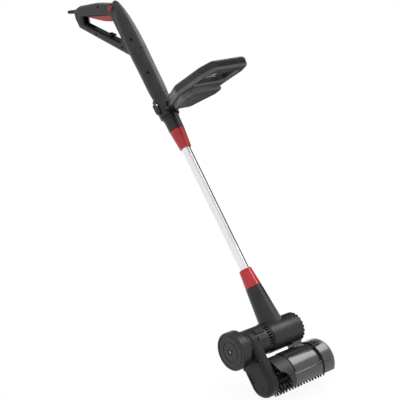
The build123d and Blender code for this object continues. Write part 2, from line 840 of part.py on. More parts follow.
def brace_corners():
    """Inner edge of the brace, its direction towards the rear, and its outward normal."""
    rear = Vector(*grip_point(hole_rear - 3, -grip_half - hole_rear_height))
    front = Vector(hole_front, brace_foot_z)
    along = (rear - front).normalized()
    return rear, front, along, Vector(along.Y, -along.X)


def d_outline():
    rear, front, along, out = brace_corners()
    foot_outer = front + out * brace_thick_front
    foot_on_axis = foot_outer - along * (foot_outer.X / along.X)
    heel = rear + out * brace_thick_rear + along * (post_thick / 2)
    points = [
        (0, grip_root_z),
        (0, foot_on_axis.Y),
        (heel.X, heel.Y),
        grip_point(hole_rear + post_thick + 3, -grip_half - 5),
        grip_point(hole_rear + post_thick + 8, 4),
        grip_point(hole_rear + 6, grip_half - 0.5),
        grip_point((hole_rear + grip_half) / 2, grip_half + grip_bow),
        grip_point(grip_half, grip_half),
        (0, body_top - grip_half),
    ]
    return rounded_outline(points, [0, 0, 9, 14, 9, 30, 90, 8, 0])


def d_hole():
    rear, front, _, _ = brace_corners()
    angle = radians(grip_angle)
    front_t = (hole_front - grip_half * sin(angle)) / cos(angle)
    points = [
        grip_point(front_t, -grip_half),
        grip_point(hole_rear, -grip_half),
        (rear.X, rear.Y),
        (front.X, front.Y),
    ]
    return rounded_outline(points, [9, 7, 6, 8])


def body_solid(inset):
    """Round body of the handle, thinned by the inset, from the foot to its domed top."""
    foot = handle_foot if inset == 0 else bush_top
    rise = [
        (clamp_seat_radius + 0.5 - inset, clamp_seat_top + 2),
        ((clamp_seat_radius + body_bulge_radius) / 2 + 0.7 - inset, (clamp_seat_top + body_bulge_z) / 2),
        (body_bulge_radius - inset, body_bulge_z),
        (body_bulge_radius - 1.2 - inset, (body_bulge_z + 2 * grip_root_z) / 3 - 28),
        (0.75 * body_bulge_radius - inset, grip_root_z - 22),
        (0.5 * body_bulge_radius - inset, body_top - 17),
        (0, body_top - inset),
    ]
    seat = clamp_seat_radius - inset
    outline = Polyline((0, foot), (handle_foot_radius - inset, foot), (seat - 1, clamp_seat_foot),
                       (seat, clamp_seat_foot), (seat, clamp_seat_top), rise[0])
    if inset:
        outline = Polyline((0, foot), (seat, foot), (seat, clamp_seat_top), rise[0])
    crown = Spline(*rise, tangents=[(0.1, 1), (-1, 0)])
    face = make_face(Curve() + [outline, crown, Line((0, body_top - inset), (0, foot))])
    return revolve(Plane.XZ * face, Axis.Z)


def d_solid(inset):
    outline = d_outline()
    hole = d_hole()
    if inset:
        outline = offset(outline, -inset, kind=Kind.INTERSECTION)
        hole = offset(hole, inset, kind=Kind.INTERSECTION)
    half = grip_half_width - inset
    plate = slab_x(outline, -half, half) - slab_x(hole, -half - 1, half + 1)
    return fillet(end_edges(plate, Axis.X), handle_round - inset)


def body_radius_at(z):
    """Outer radius of the round body at a height, read from its outline's knots."""
    if z < clamp_seat_top:
        return clamp_seat_radius
    return body_bulge_radius - 0.6


body_screw_places = [
    (-clamp_seat_radius + boss_radius, (clamp_seat_top + body_bulge_z) / 2 - 1.5),
    (-body_bulge_radius + 2 * boss_radius, rib_z + 11),
]
plate_screw_places = [
    grip_point(64.0, 8.0),
    (33.0, brace_foot_z - 5),
    (105.0, grip_root_z - 7),
]


def handle_screw_seat(y, z):
    if (y, z) in body_screw_places:
        return -sqrt(body_radius_at(z) ** 2 - y ** 2) + screw_recess
    return -grip_half_width + screw_recess


def cord_hook():
    """Small T on the inner edge of the brace that an extension lead is looped over."""
    rear, front, along, out = brace_corners()
    root = front + (rear - front) * hook_along
    angle = degrees(atan2(along.Y, along.X))
    stem = block((-hook_thick, hook_thick), (-hook_thick / 2, hook_thick / 2), (-wall, hook_stem))
    bar = block((-hook_thick, hook_thick), (-hook_bar / 2, hook_bar / 2), (hook_stem - hook_thick, hook_stem))
    bar = fillet(bar.edges().filter_by(Axis.X), hook_thick / 2 - 0.4)
    return Pos(0, root.X, root.Y) * Rot(angle, 0, 0) * (stem + bar)


def button_box(clearance, low, high):
    half_t = button_length / 2 + clearance
    half_n = button_height / 2 + clearance
    box = block((low, high), (button_t - half_t, button_t + half_t), (button_n - half_n, button_n + half_n))
    return fillet(box.edges().filter_by(Axis.X), 3 + clearance)


button_face = -grip_half_width - button_proud
button_back = button_face + button_depth
spring_seat = button_back + button_travel + 4


def handle_shell():
    outer = body_solid(0) + d_solid(0)
    inner = body_solid(wall) + d_solid(wall)
    shell = outer - inner
    shell += bar_z(body_bulge_radius, rib_z, rib_z + rib_thick) & outer
    switch_ends = (switch_front_t - rib_thick, switch_front_t + switch_length)
    for start in switch_ends:
        rib = block((-grip_half_width, grip_half_width), (start, start + rib_thick), (switch_floor_n, grip_half))
        shell += (grip_frame * rib) & outer
    for y, z in body_screw_places + plate_screw_places:
        shell += bar_x(boss_radius, -body_bulge_radius, body_bulge_radius, y, z) & outer
    pin_boss = bar_x(boss_radius, -grip_half_width, grip_half_width, trigger_pivot_t, trigger_pivot_n)
    shell += (grip_frame * pin_boss) & outer
    stop = block((spring_seat, 0), (button_t - button_length / 2, button_t), (button_n - 5, 2 * grip_half))
    shell += (grip_frame * stop) & outer
    shell += cord_hook()
    shell -= bar_z(tube_radius + 2 * gap, handle_foot - 1, bush_foot)
    shell -= bar_z(bush_radius + seat_fit, bush_foot, bush_top)
    shell -= bar_z(lead_radius + gap, rib_z - 1, rib_z + rib_thick + 1)
    slot_half = trigger_width / 2 + trigger_play
    slot = block((-slot_half, slot_half), (trigger_front_t - 4, trigger_pivot_t + 6), (-3 * grip_half, 5))
    shell -= grip_frame * slot
    shell -= grip_frame * bar_x(trigger_pin_radius + seat_fit / 2, -grip_half_width + wall, grip_half_width - wall,
                                trigger_pivot_t, trigger_pivot_n)
    shell -= grip_frame * button_box(gap, -2 * grip_half_width, spring_seat)
    rear = hole_rear + post_thick
    shell -= grip_frame * bar_y(gland_radius + seat_fit, rear - 8, rear + 20)
    shell -= grip_frame * bar_y(gland_flange_radius + seat_fit, rear - 8 - gland_flange, rear - 8)
    for z in (0.5 * (clamp_seat_top + body_bulge_z) - 25, body_bulge_z, body_bulge_z + 60):
        groove = bar_z(2 * body_bulge_radius, z, z + seam_groove_width)
        groove -= bar_z(body_bulge_radius - seam_groove, z - 1, z + seam_groove_width + 1)
        shell -= groove & block((-seam_half_width, seam_half_width), (-60, 0), (z - 5, z + 5))
    for y, z in body_screw_places + plate_screw_places:
        seat = handle_screw_seat(y, z)
        shell -= bar_x(screw_hole, seat - 1, screw_reach, y, z)
        shell -= bar_x(screw_recess_radius, -2 * body_bulge_radius, seat, y, z)
    return shell


def handle_screws():
    return [side_screw(bar_x, handle_screw_seat(y, z), screw_reach - 1, y, z)
            for y, z in body_screw_places + plate_screw_places]


def tube_guide_bush():
    bush = bar_z(bush_radius, bush_foot, bush_top)
    return bush - bar_z(tube_radius + rotor_fit, bush_foot - 1, bush_top + 1)


def cable_gland():
    """Ringed sleeve with a collar held in the rear wall and a through bore for the mains lead."""
    rear = hole_rear + post_thick
    root = rear - 8
    gland = bar_y(gland_radius, root, rear + 3)
    gland += bar_y(gland_flange_radius, root - gland_flange, root)
    taper_length = gland_length - 3
    gland += Pos(0, rear + 3 + taper_length / 2, 0) * Rot(-90, 0, 0) * Cone(gland_radius, gland_tip_radius,
                                                                             taper_length)
    for number in range(gland_rings):
        y = rear + 8 + number * 6
        ring = bar_y(gland_radius + 1, y, y + 2) - bar_y(gland_tip_radius - 0.3, y - 1, y + 3)
        gland -= ring
    gland -= bar_y(gland_bore, root - gland_flange - 1, rear + gland_length + 1)
    return grip_frame * gland


def trigger():
    """Long lever hinged at the rear of the grip, its nose standing below the grip in front."""
    rear = trigger_pivot_t + 4.5
    nose = -grip_half - trigger_nose
    points = [
        (trigger_front_t, -grip_half - 1),
        (trigger_front_t, nose),
        (trigger_front_t + 32, nose + 1.5),
        (trigger_front_t + 66, nose + 7),
        (rear - 12, -grip_half + 1),
        (rear, -grip_half + 2),
        (rear, trigger_pivot_n + 4),
        (rear - 10, trigger_pivot_n + 4),
        (trigger_front_t + 9, -grip_half + 4),
    ]
    outline = rounded_outline(points, [2, 4, 40, 40, 6, 3, 3, 4, 3])
    lever = slab_x(outline, -trigger_width / 2, trigger_width / 2)
    lever = fillet(end_edges(lever, Axis.X), 1.2)
    lever -= bar_x(trigger_pin_radius + rotor_fit, -trigger_width, trigger_width, trigger_pivot_t, trigger_pivot_n)
    return grip_frame * lever


def trigger_pin():
    half = grip_half_width - wall - seat_fit
    return grip_frame * bar_x(trigger_pin_radius, -half, half, trigger_pivot_t, trigger_pivot_n)


def trigger_top_n(t):
    """Height of the lever's upper edge at a place along the grip."""
    front = (trigger_front_t + 9, -grip_half + 4)
    rear = (trigger_pivot_t - 5.5, trigger_pivot_n + 4)
    share = (t - front[0]) / (rear[0] - front[0])
    return front[1] + share * (rear[1] - front[1])


def trigger_spring():
    foot = max(trigger_top_n(spring_t - spring_radius), trigger_top_n(spring_t + spring_radius)) + gap
    top = grip_half - wall - 1
    spring = bar_z(spring_radius, foot, top, 0, spring_t)
    return grip_frame * (spring - bar_z(spring_radius - 1, foot - 1, top + 1, 0, spring_t))


def mains_switch():
    low_n = switch_floor_n
    body = block((-switch_width / 2, switch_width / 2), (switch_front_t, switch_front_t + switch_length),
                 (low_n, low_n + switch_height))
    return grip_frame * body


def capacitor():
    return bar_z(capacitor_radius, rib_z + rib_thick, rib_z + rib_thick + capacitor_length)


def lock_button():
    button = button_box(0, button_face, button_back)
    face_edges = button.edges().group_by(Axis.X)[0]
    return grip_frame * fillet(face_edges, 1.2)


def button_spring():
    t = button_t - button_length / 2 + button_spring_radius + 1
    spring = bar_x(button_spring_radius, button_back, spring_seat, t, button_n)
    return grip_frame * (spring - bar_x(button_spring_radius - 1, button_back - 1, spring_seat + 1, t, button_n))


# Clamp on the handle and loop handle
def clamp_ring():
    ring = bar_z(clamp_radius, clamp_foot, clamp_top)
    middle = (clamp_foot + clamp_top) / 2
    reach = clamp_radius + clamp_flange_reach
    flange = block((-reach, reach), (-clamp_flange_half, clamp_flange_half),
                   (middle - clamp_flange_height / 2, middle + clamp_flange_height / 2))
    ring += fillet(flange.edges().filter_by(Axis.Y), 5)
    return ring - bar_z(clamp_seat_radius + seat_fit, clamp_foot - 1, clamp_top + 1)


def clamp_bolt_places():
    x = clamp_radius + clamp_flange_reach / 2
    middle = (clamp_foot + clamp_top) / 2
    step = clamp_flange_height / 2 - 6
    return [(side * x, middle + rise) for side in (-1, 1) for rise in (-step, step)]


def hinge_hub():
    hub = bar_x(hub_radius, -hub_half_width, hub_half_width, pivot_y, pivot_z)
    hub += block((-hub_half_width, hub_half_width), (pivot_y, -clamp_seat_radius),
                 (pivot_z - hub_radius, pivot_z + hub_radius))
    for side in (-1, 1):
        ends = sorted((side * hub_half_width, side * (hub_half_width + tooth_ring)))
        ring = bar_x(hub_radius, ends[0], ends[1], pivot_y, pivot_z)
        for number in range(hinge_teeth):
            notch = Pos((ends[0] + ends[1]) / 2, pivot_y, pivot_z) * Rot(number * 360 / hinge_teeth, 0, 0)
            ring -= notch * Pos(0, 0, hub_radius) * Box(2 * tooth_ring, 1.8, 2 * tooth_depth)
        hub += ring
    return hub


def clamp_halves():
    ring = clamp_ring()
    front = split(ring, Plane.XZ, Keep.TOP)
    rear = split(ring, Plane.XZ, Keep.BOTTOM)
    if front.center().Y > 0:
        front, rear = rear, front
    front += hinge_hub() - bar_z(clamp_seat_radius + seat_fit, clamp_foot - 20, clamp_top + 20)
    front -= bar_x(loop_pin_radius + rotor_fit, -2 * clamp_radius, 2 * clamp_radius, pivot_y, pivot_z)
    for x, z in clamp_bolt_places():
        front -= bar_y(screw_hole, -20, 1, x, z)
        rear -= bar_y(screw_hole, -1, 20, x, z)
    return front, rear


def clamp_screws():
    screws = []
    for x, z in clamp_bolt_places():
        screws.append(side_screw(bar_y, -clamp_flange_half, clamp_flange_half - 0.5, x, z))
    return screws


loop_frame = Pos(0, pivot_y, pivot_z) * Rot(loop_droop, 0, 0)
cheek_inner = hub_half_width + tooth_ring + gap
cheek_outer = cheek_inner + cheek_thick


def loop_outline(inset=0.0):
    """Plan of the loop: narrow at the hinge, flaring to the width of the grip; forward is -Y."""
    side = loop_half_width
    half = [
        (cheek_outer, -cheek_radius * 0.5),
        (side - 1, -loop_flare_end),
        (side, -loop_end + 38),
        (side - 13, -loop_end),
    ]
    points = half + [(-x, y) for x, y in reversed(half)]
    radii = [3, 30, 34, 16, 16, 34, 30, 3]
    outline = rounded_outline(points, radii)
    return offset(outline, -inset, kind=Kind.INTERSECTION) if inset else outline


def loop_hole(inset=0.0):
    near = -loop_hole_start
    far = -loop_end + loop_grip_thick + 2
    points = [
        (-loop_hole_half_width, near),
        (loop_hole_half_width, near),
        (loop_hole_half_width - 2, far),
        (-loop_hole_half_width + 2, far),
    ]
    outline = rounded_outline(points, 13)
    return offset(outline, inset, kind=Kind.INTERSECTION) if inset else outline


def slab_z(outline, low, high):
    return extrude(Plane.XY.offset(low) * outline, amount=high - low)


def belly_solid(inset):
    """Swollen underside of the base, drawn in towards its bottom."""
    side = loop_half_width - belly_inset
    points = [(cheek_outer, -belly_start), (side, -loop_flare_end), (side - 4, -loop_hole_start + 6)]
    points += [(-x, y) for x, y in reversed(points)]
    outline = rounded_outline(points, [4, 16, 10, 10, 16, 4])
    low = loop_low - belly_depth + inset
    if inset:
        outline = offset(outline, -inset, kind=Kind.INTERSECTION)
    body = slab_z(outline, low, loop_low + 9)
    return fillet(body.edges().group_by(Axis.Z)[0], 7 - inset)


def loop_plate(inset):
    low = loop_low + inset
    high = loop_high - inset
    plate = slab_z(loop_outline(inset), low, high) - slab_z(loop_hole(inset), low - 1, high + 1)
    return fillet(end_edges(plate, Axis.Z), loop_round - inset)


def loop_halves():
    outer = loop_plate(0) + belly_solid(0)
    inner = loop_plate(wall) + belly_solid(wall)
    shell = outer - inner
    for side in (-1, 1):
        ends = sorted((side * cheek_inner, side * cheek_outer))
        shell += bar_x(cheek_radius, ends[0], ends[1])
    for x, g in loop_screw_places:
        for side in (-1, 1):
            shell += bar_z(boss_radius, loop_low - belly_depth, loop_high, side * x, -g) & outer
    room = bar_x(cheek_radius + 2, -cheek_inner, cheek_inner)
    room += block((-cheek_inner, cheek_inner), (0, 3 * cheek_radius), (-3 * cheek_radius, 3 * cheek_radius))
    shell -= room
    shell -= bar_x(loop_pin_radius + seat_fit, -2 * cheek_outer, 2 * cheek_outer)
    for x, g in loop_screw_places:
        for side in (-1, 1):
            seat = loop_low - belly_depth + screw_recess
            shell -= bar_z(screw_hole, seat - 1, loop_split + screw_reach, side * x, -g)
            shell -= bar_z(screw_recess_radius, seat - 2 * screw_recess, seat, side * x, -g)
    lower = split(shell, Plane.XY.offset(loop_split), Keep.BOTTOM)
    upper = split(shell, Plane.XY.offset(loop_split), Keep.TOP)
    hinge_side = block((-2 * cheek_outer, 2 * cheek_outer), (-cheek_radius - 2, 2 * cheek_radius),
                       (-3 * cheek_radius, loop_split))
    upper += lower & hinge_side
    lower -= hinge_side
    return loop_frame * upper, loop_frame * lower


def loop_pin():
    pin = bar_x(loop_pin_radius, -cheek_outer, cheek_outer)
    for side in (-1, 1):
        ends = sorted((side * cheek_outer, side * (cheek_outer + loop_pin_head)))
        pin += bar_x(loop_pin_head_radius, ends[0], ends[1])
    return loop_frame * pin


def loop_screws():
    seat = loop_low - belly_depth + screw_recess
    screws = []
    for x, g in loop_screw_places:
        for side in (-1, 1):
            shank = bar_z(screw_radius, seat, loop_split + screw_reach - 1, side * x, -g)
            screws.append(loop_frame * (shank + bar_z(screw_head_radius, seat - screw_head, seat, side * x, -g)))
    return screws


def halves(solid, plane):
    return split(solid, plane, Keep.TOP), split(solid, plane, Keep.BOTTOM)


at_roller = Pos(0, 0, -axle_distance)
housing_rear, housing_front = halves(head_housing(), Plane.XZ.rotated((0, 0, 180)))
handle_right, handle_left = halves(handle_shell(), Plane.YZ)
clamp_front, clamp_rear = clamp_halves()
loop_upper, loop_lower = loop_halves()

pieces = {
    "roller_core": at_roller * roller_core(),
    "roller_bristles": at_roller * roller_bristles(),
    "brush_spindle": at_roller * brush_spindle(),
    "roller_end_screw": at_roller * roller_end_screw(),
    "driven_pulley": pulley(driven_drum_radius, spindle_radius, -axle_distance),
    "belt_case": belt_case(),
    "belt_cover": belt_cover(),
    "arm_screws": arm_screws(),
    "motor_bearings": motor_bearings(),
    "spindle_bearings": spindle_bearings(),
    "drive_belt": drive_belt(),
    "round_cover": round_cover(),
    "cover_screw": cover_screw(),
    "housing_front": housing_front,
    "housing_rear": housing_rear,
    "housing_screws": housing_screws(),
    "motor_end_cap": motor_end_cap(),
    "field_core": field_core(),
    "field_coils": field_coils(),
    "carbon_brushes": carbon_brushes(),
    "armature_shaft": armature_shaft(),
    "armature_core": armature_core(),
    "armature_windings": armature_windings(),
    "commutator": commutator(),
    "cooling_fan": cooling_fan(),
    "drive_pulley": pulley(drive_drum_radius, shaft_radius, 0),
    "hood": hood(),
    "hood_screws": hood_screws(),
    "aluminium_tube": aluminium_tube(),
    "tube_end_plug": tube_end_plug(),
    "inner_lead": inner_lead(),
    "terminal_block": terminal_block(),
    "lower_sleeve": clamping_sleeve(neck_top_radius, lower_sleeve_top_radius, lower_sleeve_foot, lower_sleeve_top),
    "upper_sleeve": clamping_sleeve(upper_sleeve_foot_radius, handle_foot_radius, upper_sleeve_foot,
                                    upper_sleeve_top),
    "handle_left": handle_left,
    "handle_right": handle_right,
    "handle_screws": handle_screws(),
    "tube_guide_bush": tube_guide_bush(),
    "cable_gland": cable_gland(),
    "mains_switch": mains_switch(),
    "capacitor": capacitor(),
    "lead_coil": lead_coil(),
    "trigger": trigger(),
    "trigger_pin": trigger_pin(),
    "trigger_spring": trigger_spring(),
    "lock_button": lock_button(),
    "button_spring": button_spring(),
    "clamp_front": clamp_front,
    "clamp_rear": clamp_rear,
    "clamp_screws": clamp_screws(),
    "loop_upper": loop_upper,
    "loop_lower": loop_lower,
    "loop_pin": loop_pin(),
    "loop_screws": loop_screws(),
}

working_pose = Pos(0, axle_distance * sin(radians(lean)), roller_radius + axle_distance * cos(radians(lean)))
working_pose *= Rot(-lean, 0, 0)
os.makedirs("parts", exist_ok=True)
for name, shape in pieces.items():
    solids = shape if isinstance(shape, list) else [shape]
    export_step(Compound(children=[working_pose * solid for solid in solids]), f"parts/{name}.step")
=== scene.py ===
from math import cos, pi, radians, sin, sqrt
from random import Random

import bpy
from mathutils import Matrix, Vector


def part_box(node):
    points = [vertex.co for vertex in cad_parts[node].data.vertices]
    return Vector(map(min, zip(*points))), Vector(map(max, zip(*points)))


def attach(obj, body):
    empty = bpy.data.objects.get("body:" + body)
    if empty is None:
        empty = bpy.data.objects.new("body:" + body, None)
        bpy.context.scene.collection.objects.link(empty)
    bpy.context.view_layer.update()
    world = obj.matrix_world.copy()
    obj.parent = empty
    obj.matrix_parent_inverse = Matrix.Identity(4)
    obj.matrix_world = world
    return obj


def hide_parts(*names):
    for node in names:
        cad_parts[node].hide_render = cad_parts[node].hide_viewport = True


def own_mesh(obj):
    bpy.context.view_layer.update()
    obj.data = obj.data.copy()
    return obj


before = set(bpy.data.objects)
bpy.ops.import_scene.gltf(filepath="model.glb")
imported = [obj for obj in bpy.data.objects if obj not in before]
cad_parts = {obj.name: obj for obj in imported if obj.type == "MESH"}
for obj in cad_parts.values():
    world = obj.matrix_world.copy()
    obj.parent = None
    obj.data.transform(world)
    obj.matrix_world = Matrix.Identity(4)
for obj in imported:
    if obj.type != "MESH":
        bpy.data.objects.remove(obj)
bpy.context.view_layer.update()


# Brush roller. A moulded core turns on a steel spindle, and stiff nylon tufts are pressed into it in
# staggered rows; each tuft is a bundle of filaments that opens a little towards its cut tips.
class Shade:
    """One socket of a node tree. Sums written on it add Math nodes."""

    def __init__(self, tree, socket=None):
        self.tree = tree
        self.socket = socket

    def node(self, kind, settings, sockets, output=0):
        made = self.tree.nodes.new(kind)
        for name, value in settings.items():
            if name == "stops":
                for stop, (place, tone) in zip(made.color_ramp.elements, value):
                    stop.position = place
                    stop.color = (tone, tone, tone, 1)
            else:
                setattr(made, name, value)
        for name, value in sockets.items():
            if isinstance(value, Shade):
                self.tree.links.new(value.socket, made.inputs[name])
            else:
                made.inputs[name].default_value = value
        return Shade(self.tree, made.outputs[output] if made.outputs else None)

    def sum(self, operation, first, second):
        return self.node("ShaderNodeMath", {"operation": operation}, {0: first, 1: second})

    def __add__(self, other):
        return self.sum("ADD", self, other)

    __radd__ = __add__

    def __sub__(self, other):
        return self.sum("SUBTRACT", self, other)

    def __rsub__(self, other):
        return self.sum("SUBTRACT", other, self)

    def __mul__(self, other):
        return self.sum("MULTIPLY", self, other)

    __rmul__ = __mul__

    def between(self, first, second):
        """Colour that goes from first to second as this value goes from 0 to 1."""
        ends = {0: self, 6: (*first, 1), 7: (*second, 1)}
        return self.node("ShaderNodeMix", {"data_type": "RGBA"}, ends, 2)

    def noise(self, place, scale, detail=3.0):
        return self.node("ShaderNodeTexNoise", {}, {"Vector": place, "Scale": scale, "Detail": detail})

    def ramp(self, low, high):
        return self.node("ShaderNodeValToRGB", {"stops": [(low, 0.0), (high, 1.0)]}, {"Fac": self})

    def stretched(self, scale, turn=(0, 0, 0)):
        """The piece's own coordinates in metres, turned and stretched."""
        place = self.node("ShaderNodeTexCoord", {}, {}, "Object")
        return self.node("ShaderNodeMapping", {}, {"Vector": place, "Rotation": turn, "Scale": scale})

    def bump(self, height, strength, depth):
        return self.node("ShaderNodeBump", {}, {"Height": height, "Strength": strength, "Distance": depth})


def new_finish(name):
    material = bpy.data.materials.new(name)
    material.use_nodes = True
    material.node_tree.nodes.clear()
    return material, Shade(material.node_tree)


def close_finish(shade, sockets):
    surface = shade.node("ShaderNodeBsdfPrincipled", {}, sockets)
    shade.node("ShaderNodeOutputMaterial", {}, {"Surface": surface})


cloud_scale = 38
smear_scale = 11
pit_scale = 1500


def mould_grain(shade, dark, light, gloss, grain):
    """Clouded tone, uneven gloss from handling, and the spark-eroded grain of the mould."""
    place = shade.stretched((1, 1, 1))
    cloud = shade.noise(place, cloud_scale, 4)
    smear = shade.noise(place, smear_scale, 2)
    pits = shade.noise(place, pit_scale, 2)
    return {
        "Base Color": (cloud * 0.88 + pits * 0.12).ramp(0.34, 0.66).between(dark, light),
        "Roughness": smear * 0.18 + pits * 0.03 + (gloss - 0.1),
        "Normal": shade.bump(pits, grain, 0.0002),
    }


def moulded(name, dark, light, gloss, grain, constants):
    """Moulded plastic."""
    material, shade = new_finish(name)
    close_finish(shade, {**mould_grain(shade, dark, light, gloss, grain), **constants})
    return material


def metal(name, colour, worn, gloss, lines, turn=(0, 0, 0)):
    """Bare metal with fine drawn or turned lines; lines is the stretch of the marks along each axis."""
    material, shade = new_finish(name)
    marks = shade.noise(shade.stretched(lines, turn), 1.0, 5)
    cloud = shade.noise(shade.stretched((1, 1, 1)), 30, 3)
    close_finish(shade, {
        "Base Color": (marks * 0.6 + cloud * 0.4).ramp(0.35, 0.65).between(worn, colour),
        "Roughness": marks * 0.12 + cloud * 0.08 + (gloss - 0.1),
        "Normal": shade.bump(marks, 0.12, 0.0001),
        "Metallic": 1.0,
    })
    return material


def dress(material, *nodes):
    for node in nodes:
        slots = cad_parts[node].data.materials
        slots.clear()
        slots.append(material)


def strand_mesh(name, lines, sides):
    """Round strands; each line is a row of (point, radius)."""
    points, faces = [], []
    for line in lines:
        first = len(points)
        last = len(line) - 1
        side = None
        for number, (place, radius) in enumerate(line):
            ahead = (line[min(number + 1, last)][0] - line[max(number - 1, 0)][0]).normalized()
            side = ahead.orthogonal() if side is None else side - ahead * side.dot(ahead)
            side = side.normalized()
            other = ahead.cross(side)
            for corner in range(sides):
                angle = 2 * pi * corner / sides
                points.append(place + (side * cos(angle) + other * sin(angle)) * radius)
        for ring in range(last):
            for corner in range(sides):
                here = first + ring * sides
                beside = (corner + 1) % sides
                faces.append((here + corner, here + beside, here + sides + beside, here + sides + corner))
        faces.append(tuple(first + corner for corner in reversed(range(sides))))
        faces.append(tuple(first + last * sides + corner for corner in range(sides)))
    mesh = bpy.data.meshes.new(name)
    mesh.from_pydata(points, [], faces)
    mesh.polygons.foreach_set("use_smooth", [True] * len(faces))
    piece = bpy.data.objects.new(name, mesh)
    bpy.context.scene.collection.objects.link(piece)
    return piece


axle = Vector((0, 0, 0.0415))
tuft_rows = 16
tufts_per_row = 17
tuft_first = -0.0795
tuft_pitch = 0.009636
tuft_foot = 0.0206
tuft_tip = 0.0413
tip_wear = 0.0011
lean_most_x = 0.0008
lean_most_y = 0.0010
filament_step = 0.001
filament_sides = 5
filament_form = ((0.0, 1.00, 0.00064), (0.5, 1.35, 0.00062), (1.0, 1.85, 0.00052))  # height, spread, radius
filaments = [(0, 0)] + [(cos(turn * pi / 3), sin(turn * pi / 3)) for turn in range(6)]
along = Vector((1, 0, 0))
shake = Random(11)
strands = []
for row in range(tuft_rows):
    angle = 2 * pi * row / tuft_rows
    outward = Vector((0, -sin(angle), cos(angle)))
    across = Vector((0, cos(angle), sin(angle)))
    for number in range(tufts_per_row):
        x = tuft_first + tuft_pitch * (number + (0.5 if row % 2 else 0.0))
        lean_x = shake.uniform(-lean_most_x, lean_most_x)
        lean_y = shake.uniform(-lean_most_y, lean_most_y)
        for step_x, step_y in filaments:
            tip = tuft_tip - shake.uniform(0, tip_wear)
            line = []
            for share, spread, thick in filament_form:
                bend = share * share
                place = axle + along * (x + step_x * spread * filament_step + lean_x * bend)
                place += across * (step_y * spread * filament_step + lean_y * bend)
                place += outward * (tuft_foot + share * (tip - tuft_foot))
                line.append((place, thick))
            strands.append(line)
bristles = strand_mesh("bristle_tufts", strands, filament_sides)
nylon_filament = moulded(
    "nylon_filament", (0.007, 0.007, 0.008), (0.016, 0.016, 0.017), 0.38, 0.1,
    {"Specular IOR Level": 0.45})
bristles.data.materials.append(nylon_filament)
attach(bristles, "roller")
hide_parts("roller_bristles")
dress(moulded("core_plastic", (0.012, 0.012, 0.012), (0.024, 0.024, 0.024), 0.5, 0.25, {}), "roller_core")
even_marks = (700, 700, 700)
zinc_steel = metal("zinc_steel", (0.74, 0.74, 0.72), (0.52, 0.52, 0.52), 0.3, even_marks)
dress(zinc_steel, "brush_spindle", "roller_end_screw")


# Drive arm. Two moulded halves hold a toothed belt between the motor's small pulley and the roller's
# large one; ball bearings carry both axles, and three screws close the halves.
# Painted shade: the arm halves are the housing's black plastic made a little darker and less glossy.
arm_grain_painted_shade = moulded(
    "arm_grain_painted_shade", (0.008, 0.0083, 0.0098), (0.014, 0.0144, 0.0165), 0.42, 0.1,
    {"Specular IOR Level": 0.26})
dress(arm_grain_painted_shade, "belt_case", "belt_cover")
turned_marks = (2600, 120, 120)
ground_steel = metal("ground_steel", (0.66, 0.67, 0.68), (0.5, 0.51, 0.52), 0.22, turned_marks)
dress(ground_steel, "motor_bearings", "spindle_bearings")
black_steel = metal("black_steel", (0.055, 0.055, 0.057), (0.03, 0.03, 0.031), 0.38, even_marks)
dress(black_steel, "arm_screws")
pulley_plastic = moulded(
    "pulley_plastic", (0.07, 0.07, 0.075), (0.12, 0.12, 0.125), 0.42, 0.15, {})
dress(pulley_plastic, "driven_pulley", "drive_pulley")
belt_rubber = moulded("belt_rubber", (0.010, 0.010, 0.010), (0.022, 0.022, 0.021), 0.75, 0.5, {})
dress(belt_rubber, "drive_belt")


# Round cover. A hollow moulded drum over the end of the drive, with turned rings on its face and one
# plain steel screw in the middle that holds it to the arm.
black_tones = (0.009, 0.0093, 0.0112), (0.0165, 0.0169, 0.0195)
black_gloss = 0.38
black_pits = 0.1
black_shine = {"Specular IOR Level": 0.4}
black_grain = moulded("black_grain", *black_tones, black_gloss, black_pits, black_shine)
dress(black_grain, "round_cover")
dull_steel = metal("dull_steel", (0.34, 0.34, 0.345), (0.22, 0.22, 0.225), 0.4, even_marks)
dress(dull_steel, "cover_screw")


# Motor. Stacked sheet steel with enamelled copper coils stands still round a wound armature, with its
# copper commutator, two carbon brushes and a moulded fan on the same shaft.
def stacked_steel(name, colour, seam, sheet):
    """Varnished sheet steel stacked along the axle, with a dark line at each sheet."""
    material, shade = new_finish(name)
    place = shade.stretched((pi / sheet, 0, 0))
    sheets = shade.node("ShaderNodeTexWave", {}, {"Vector": place, "Scale": 0.318, "Distortion": 0.4})
    stain = shade.noise(shade.stretched((1, 1, 1)), 120, 4)
    close_finish(shade, {
        "Base Color": (sheets * 0.6 + stain * 0.4).ramp(0.2, 0.8).between(seam, colour),
        "Roughness": stain * 0.2 + 0.4,
        "Normal": shade.bump(sheets, 0.3, 0.0001),
        "Metallic": 0.8,
    })
    return material


def enamelled(name, dark, light):
    """Copper wire under amber enamel."""
    material, shade = new_finish(name)
    cloud = shade.noise(shade.stretched((1, 1, 1)), 300, 3)
    close_finish(shade, {
        "Base Color": cloud.ramp(0.35, 0.65).between(dark, light),
        "Roughness": cloud * 0.15 + 0.25,
        "Metallic": 0.75,
        "Coat Weight": 0.4,
    })
    return material


sheet_steel = stacked_steel("sheet_steel", (0.32, 0.32, 0.33), (0.1, 0.1, 0.105), 0.0008)
dress(sheet_steel, "field_core", "armature_core")
dress(ground_steel, "armature_shaft")
bar_marks = (300, 2400, 2400)
bar_copper = metal("bar_copper", (0.72, 0.34, 0.18), (0.42, 0.2, 0.11), 0.3, bar_marks)
dress(bar_copper, "commutator")
dress(moulded("pressed_carbon", (0.012, 0.012, 0.013), (0.03, 0.03, 0.031), 0.6, 0.4, {}), "carbon_brushes")
dress(pulley_plastic, "cooling_fan")
# Painted shade: the copper is given a much darker tone than bare copper, for the shade inside the housing
# behind the vents.
copper_wire_painted_shade = enamelled("copper_wire_painted_shade", (0.10, 0.033, 0.014), (0.24, 0.085, 0.035))
motor_axis = Vector((0, 0.058815, 0.111593))
lean = radians(40)


